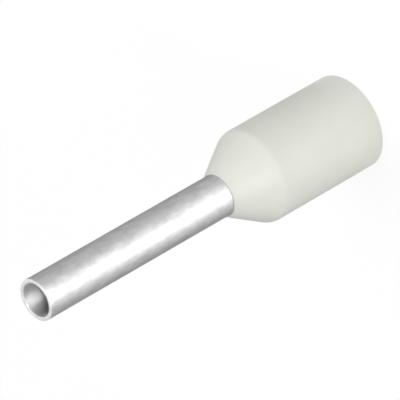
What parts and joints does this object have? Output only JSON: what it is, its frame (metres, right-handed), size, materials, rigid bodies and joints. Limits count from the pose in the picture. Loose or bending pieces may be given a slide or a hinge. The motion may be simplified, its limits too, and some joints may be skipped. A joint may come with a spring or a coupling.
{
  "type": "wire ferrule",
  "caption": "Insulated wire-end ferrule: a thin tinned copper crimp sleeve with a flared mouth, held in a white moulded collar that takes the end of the wire's insulation.",
  "frame": {"origin": "centre of the collar's open end face, which is the face that the ferrule stands on", "axes": "+Z along the ferrule's axis, from the collar's open end to the tip of the sleeve; X and Y are any two directions square to it, because the part is round"},
  "size_m": [0.0034, 0.0034, 0.014],
  "materials": {
    "tinned_copper": "satin tin plate",
    "white_polypropylene": "smooth satin"
  },
  "bodies": {
    "root": {"crimp_sleeve": "tinned_copper", "insulating_collar": "white_polypropylene"}
  },
  "joints": []
}
